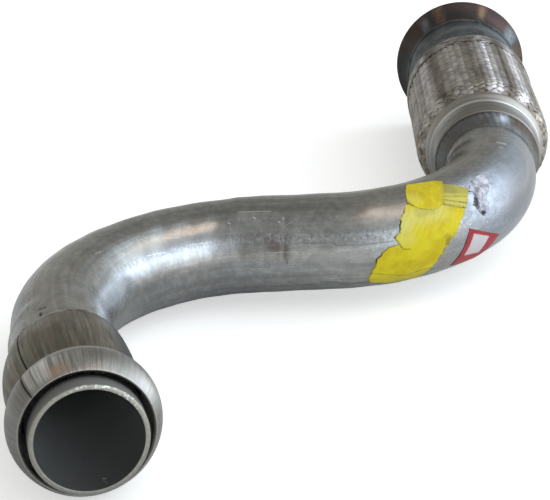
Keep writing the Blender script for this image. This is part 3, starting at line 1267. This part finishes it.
def largeLabelMarks(s, a, u, v):
    # dirt in strokes along a tear and a crack, in a stain and down the left edge; paler and olive fields
    # between gates; and one dent pressed in along its line
    dirt = 0.9 * stroke(s, a, labelLines["tear"], 0.4) + 0.75 * stroke(s, a, labelLines["lowCrack"], 0.35)
    dirt = dirt + 0.55 * gate(s, 424, 428, 2) * gate(a, 80, 96, 6) + 0.9 * (u < 0.025) * (v > 0.05)
    return {
        "dirt": np.clip(dirt, 0, 1),
        "fade": 0.8 * gate(a, 38, 60, 14) * gate(s, 396, 430, 9)
        + 0.5 * gate(s, 400, 409, 4) * gate(a, 50, 80, 8),
        "olive": 0.35 * gate(s, 412, 424, 3) * gate(a, 40, 52, 4) + 0.3 * gate(a, 122, 150, 8),
        "fold": -0.12 * stroke(s, a, labelLines["dent"], 1.0),
    }


def smallLabelMarks(s, a, u, v):
    # dirt left of a parabola along the upper left edge, an olive right edge and one paler field
    return {
        "dirt": 0.9 * np.clip((411.2 + 0.012 * (a - 22) ** 2 - s) / 0.8, 0, 1) * (a < 37),
        "olive": 0.25 * gate(u, 0.9, 1.1, 0.08),
        "fade": 0.35 * gate(s, 409, 418, 4) * gate(a, 16, 34, 8),
    }


def fadedStripMarks(s, a, u, v):
    # olive as far as a slanting line and pale all over, with the folds raised and dirty along their lines
    folded = sum(stroke(s, a, line, 0.45) for line in labelLines["folds"])
    return {
        "olive": gate(a - 0.95 * (s - 430), -99, 28, 5) * (0.9 - 0.45 * gate(s, 440, 460, 4)) + 0.25,
        "fade": 0.6,
        "dirt": 0.8 * np.clip(folded, 0, 1) * gate(s, 429, 450, 3),
        "fold": 0.18 * folded,
    }


def redLabelMarks(s, a, u, v):
    # one plain white field between gates across and down
    return {"white": (0.95 - 0.15 * v) * gate(u, 0.15, 0.64, 0.03) * gate(v, 0.13, 0.76, 0.02)}


def tornResidueMarks(s, a, u, v):
    # dirt in strokes along the left edge and one line inside
    edge = stroke(s, a, labelLines["residueEdge"], 1.5)
    return {"dirt": edge + 0.5 * stroke(s, a, labelLines["residueLine"], 0.6)}


def dressNodes(names, material):
    # gives CAD nodes that stay visible their material
    for name in names:
        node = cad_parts[name]
        node.data.materials.clear()
        node.data.materials.append(material)


makePipe()
makeCollar()
dressNodes([f"collar_tack_{n}" for n in range(1, 7)], materials["tack"])
dressNodes(["near_nipple", "interlock_liner", "far_nipple", "bellows"], materials["inner"])
print("tube and collar done")
makeFlexWeld()
makeNearCap()
makeBraid("braidRightHand", 1)
makeBraid("braidLeftHand", -1)
makeBacking()
makeFarCap()
makeNeck()
for name, bead in weldShape["beads"].items():
    makeSeamBead(name, *bead)
makeFlange()
print("flexible section done")
for name, marks in (
    ("largeLabel", largeLabelMarks), ("fadedStrip", fadedStripMarks), ("smallLabel", smallLabelMarks),
    ("redLabel", redLabelMarks), ("tornResidue", tornResidueMarks),
):
    makeLabel(name, labelShapes[name], marks)
print("labels done")

# The camera was fitted to the tube's outline in the photograph's frame of 550 by 500
view = {
    "place": (-47.9, -710.8, 369.8), "look": (0.1889, 0.911, -0.3667), "up": (0.1549, 0.3411, 0.9272),
    "focal": 1627.863, "width": 550, "sensor": 36.0,
}


def makeCamera():
    # looks along the fitted line, turned by the axes of the drawing
    camera = bpy.data.cameras.new("camera")
    camera.sensor_width = view["sensor"]
    camera.lens = view["focal"] * view["sensor"] / view["width"]
    camera.clip_end = 20
    eye, look, up = (np.array(view[key]) @ drawnAxes for key in ("place", "look", "up"))
    look = look / np.linalg.norm(look)
    side = np.cross(look, up)
    side = side / np.linalg.norm(side)
    turn = Matrix(np.stack([side, np.cross(side, look), -look], axis=1).tolist()).to_4x4()
    piece = bpy.data.objects.new("camera", camera)
    piece.matrix_world = Matrix.Translation((eye * mm).tolist()) @ turn
    bpy.context.scene.collection.objects.link(piece)
    bpy.context.scene.camera = piece


# The lamp stands at a bearing and height in degrees from the part's middle, away by so many metres
lamp = {
    "name": "warmTop", "middle": (0.17, 0.2, 0.0), "bearing": 140, "height": 72, "away": 3.0,
    "size": (1.2, 1.2), "power": 4.2, "colour": (1.0, 0.84, 0.70),
}
# The sky is even, with soft patches of light: bearing, height, reach of the full and of the last
# light from the middle in degrees, and strength
surroundings = {
    "evenColour": (1.03, 1.02, 0.94), "patchColour": (0.90, 1.01, 1.10), "horizon": 0.48, "zenith": 0.35,
    "patches": [
        (115, 0, 2, 95, 0.90), (95, 15, 8, 31, 0.85), (148, 13, 8, 32, 0.80), (88, 45, 4, 32, 0.75),
        (198, 39, 25, 68, 0.13), (30, -8, 2, 20, 0.4),
    ],
    "floor": 0.8, "floorSize": 3.0, "floorSeen": 0.5, "floorMirrored": 0.9, "mirroredBearing": 130,
}


def direction(bearing, height):
    # the unit vector at a bearing from +Y towards +X and a height above the horizon
    bearing, height = math.radians(bearing), math.radians(height)
    level = math.cos(height)
    return Vector((math.sin(bearing) * level, math.cos(bearing) * level, math.sin(height)))


def makeLamp():
    # one square lamp that faces the middle of the part
    light = bpy.data.lights.new(lamp["name"], "AREA")
    light.shape = "RECTANGLE"
    light.size, light.size_y = lamp["size"]
    light.energy = lamp["power"]
    light.color = lamp["colour"]
    piece = bpy.data.objects.new(lamp["name"], light)
    towards = direction(lamp["bearing"], lamp["height"])
    turn = towards.to_track_quat("Z", "Y").to_matrix().to_4x4()
    piece.matrix_world = Matrix.Translation(Vector(lamp["middle"]) + towards * lamp["away"]) @ turn
    bpy.context.scene.collection.objects.link(piece)


def makeSky():
    # the camera sees white; the rest is lit by the even sky and the patches, each with its own tint
    world = bpy.data.worlds.new("studio")
    world.use_nodes = True
    add = nodeMaker(world.node_tree)
    camera = add("ShaderNodeLightPath").outputs["Is Camera Ray"]
    way = add("ShaderNodeTexCoord").outputs["Generated"]
    up = add("ShaderNodeSeparateXYZ", in_Vector=way).outputs["Z"]
    even = remap(add, up, 0.0, 0.9, surroundings["horizon"], surroundings["zenith"])
    patches = 0.0
    for bearing, height, full, last, strength in surroundings["patches"]:
        near = vectorCalc(add, "DOT_PRODUCT", way, direction(bearing, height))
        patch = remap(add, near, math.cos(math.radians(last)), math.cos(math.radians(full)), 0, strength)
        patches = calc(add, "ADD", patch, patches)
    sky = calc(add, "ADD", even, patches)
    colour = blendColour(
        add, calc(add, "DIVIDE", patches, sky), surroundings["evenColour"], surroundings["patchColour"],
    )
    colour = blendColour(add, camera, colour, (1.0, 1.0, 1.0))
    shine = add("ShaderNodeBackground", in_Color=colour, in_Strength=calc(add, "MAXIMUM", camera, sky))
    add("ShaderNodeOutputWorld", in_Surface=shine.outputs[0])
    bpy.context.scene.world = world


def makeFloor():
    # a pale floor under the lowest rings of the part; rays from the camera and from metal see it lit
    size, low = surroundings["floorSize"], cadBox[0][2] - 0.0002
    corners = np.array([(-size, -size, low), (-size, size, low), (size, -size, low), (size, size, low)])
    floor = surface("floor", corners.reshape(2, 2, 3))
    material, add = newMaterial("paleFloor")
    path = add("ShaderNodeLightPath").outputs
    # metal sees the floor brighten away from the part, towards the side of the large patch
    mirroredWay = direction(surroundings["mirroredBearing"], 0)
    way = vectorCalc(add, "DOT_PRODUCT", add("ShaderNodeTexCoord").outputs["Object"], mirroredWay)
    mirrored = calc(add, "MAXIMUM", path["Is Glossy Ray"], path["Is Transmission Ray"])
    mirrored = calc(add, "MULTIPLY", mirrored, remap(add, way, -0.05, 0.5))
    glow = calc(
        add, "MAXIMUM", calc(add, "MULTIPLY", path["Is Camera Ray"], surroundings["floorSeen"]),
        calc(add, "MULTIPLY", mirrored, surroundings["floorMirrored"]),
    )
    shader = add("ShaderNodeBsdfPrincipled", in_Base_Color=(surroundings["floor"],) * 3, in_Roughness=0.9,
                 in_Emission_Color=(1.0, 1.0, 1.0), in_Emission_Strength=glow)
    add("ShaderNodeOutputMaterial", in_Surface=shader.outputs[0])
    floor.data.materials.append(material)


makeCamera()
makeLamp()
makeSky()
makeFloor()
bpy.context.scene.view_settings.view_transform = "Standard"

print("camera, light and floor done")
